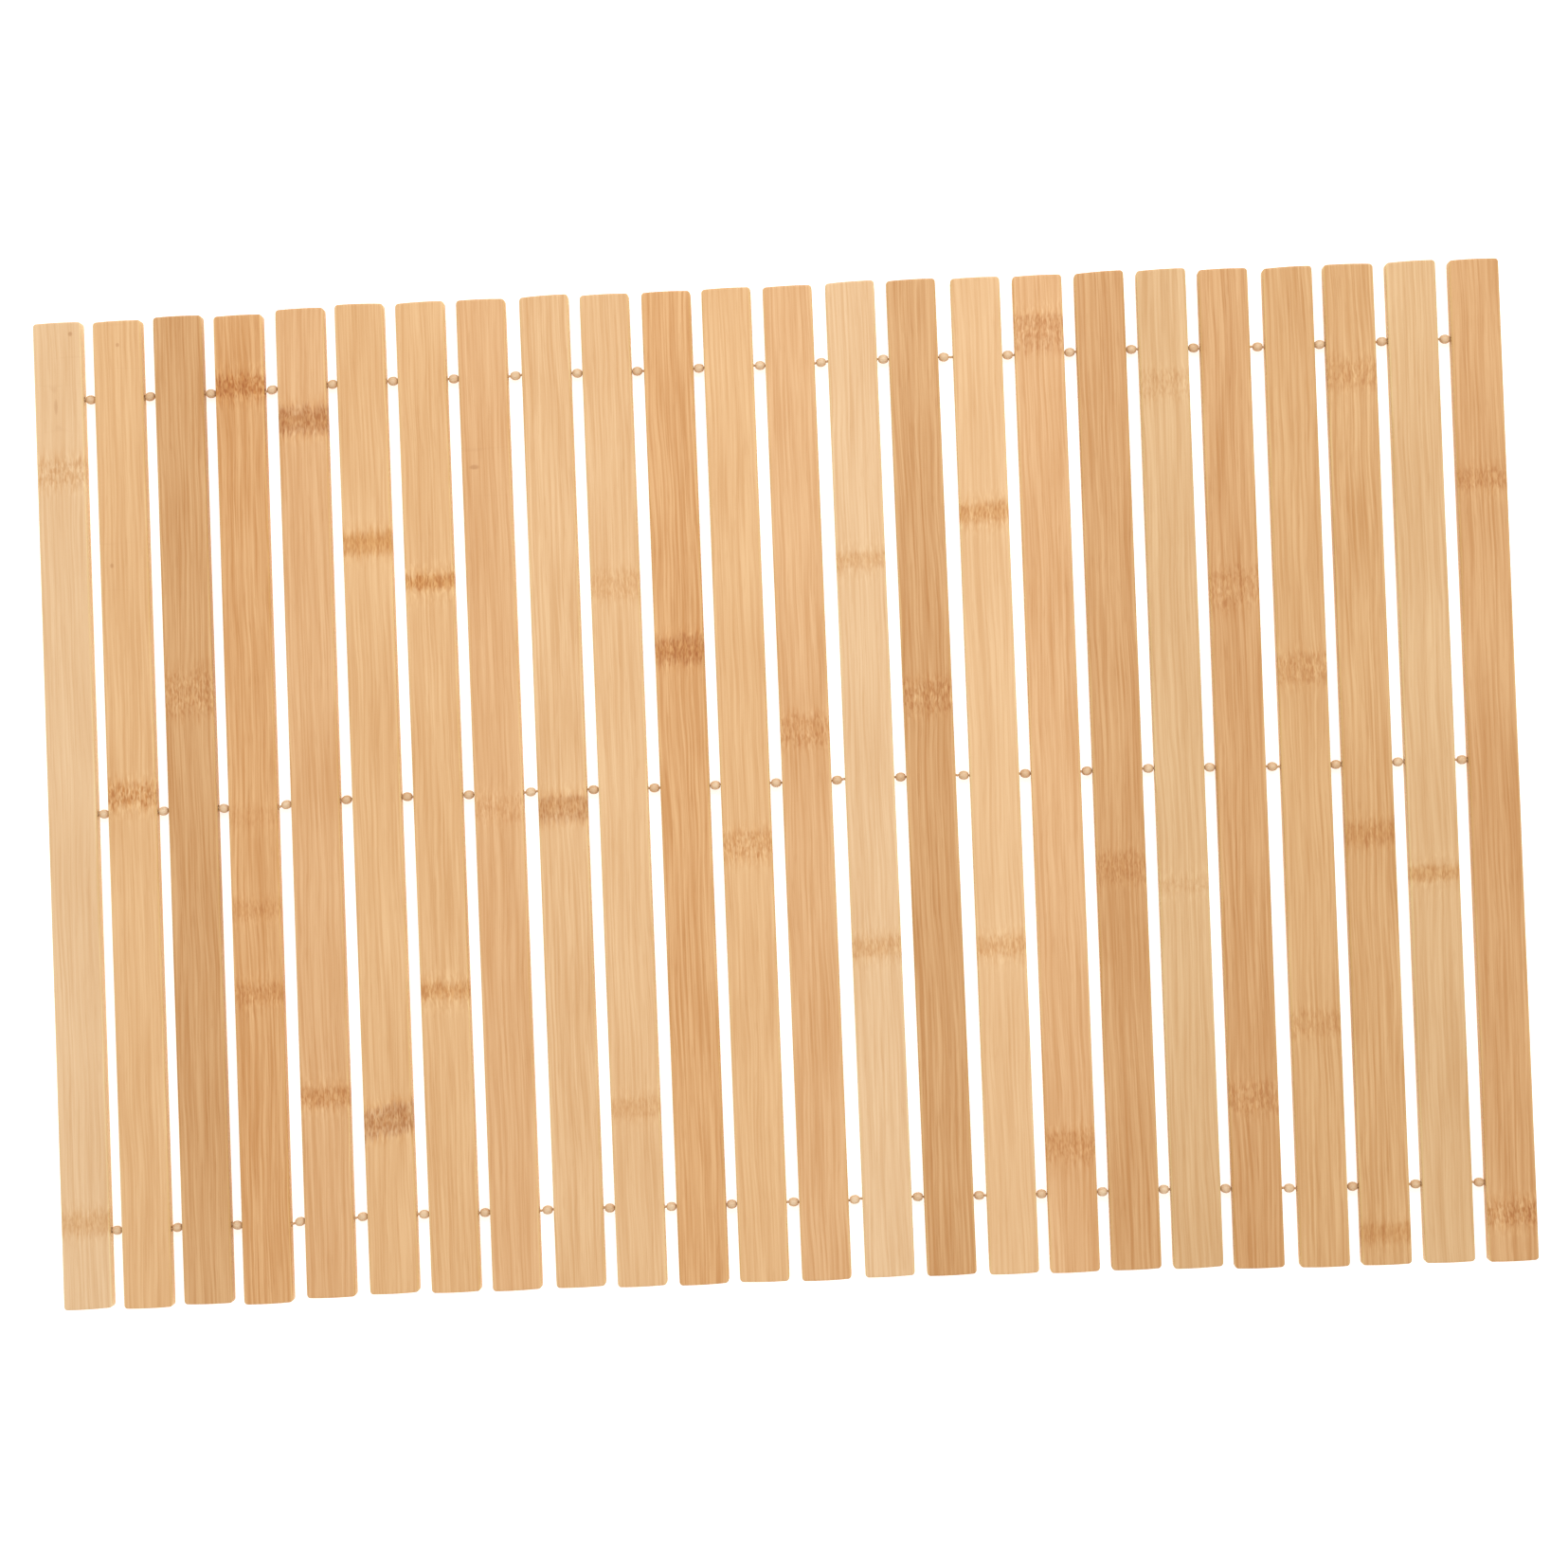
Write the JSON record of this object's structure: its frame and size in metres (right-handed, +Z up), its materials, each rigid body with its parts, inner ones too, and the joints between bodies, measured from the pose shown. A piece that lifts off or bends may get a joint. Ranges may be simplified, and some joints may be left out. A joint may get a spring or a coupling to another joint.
{
  "type": "slatted bamboo mat",
  "caption": "Flat mat of bamboo slats lying side by side, threaded on cords with a small wooden bead in each gap.",
  "frame": {"origin": "below the middle of the whole mat, on the surface that it lies on", "axes": "+X across the slats, +Y along the slats, +Z up"},
  "size_m": [0.5918, 0.4032, 0.006],
  "materials": {
    "bamboo": "planed bamboo, satin",
    "cord": "thin pale tan twisted cord, matt",
    "bead": "turned pale wood, satin"
  },
  "bodies": {
    "root": {"slat_01": "bamboo", "slat_02": "bamboo", "slat_03": "bamboo", "slat_04": "bamboo", "slat_05": "bamboo", "slat_06": "bamboo", "slat_07": "bamboo", "slat_08": "bamboo", "slat_09": "bamboo", "slat_10": "bamboo", "slat_11": "bamboo", "slat_12": "bamboo", "slat_13": "bamboo", "slat_14": "bamboo", "slat_15": "bamboo", "slat_16": "bamboo", "slat_17": "bamboo", "slat_18": "bamboo", "slat_19": "bamboo", "slat_20": "bamboo", "slat_21": "bamboo", "slat_22": "bamboo", "slat_23": "bamboo", "slat_24": "bamboo", "beaded_cord_top": "cord", "beaded_cord_middle": "cord", "beaded_cord_low": "cord"}
  },
  "joints": []
}
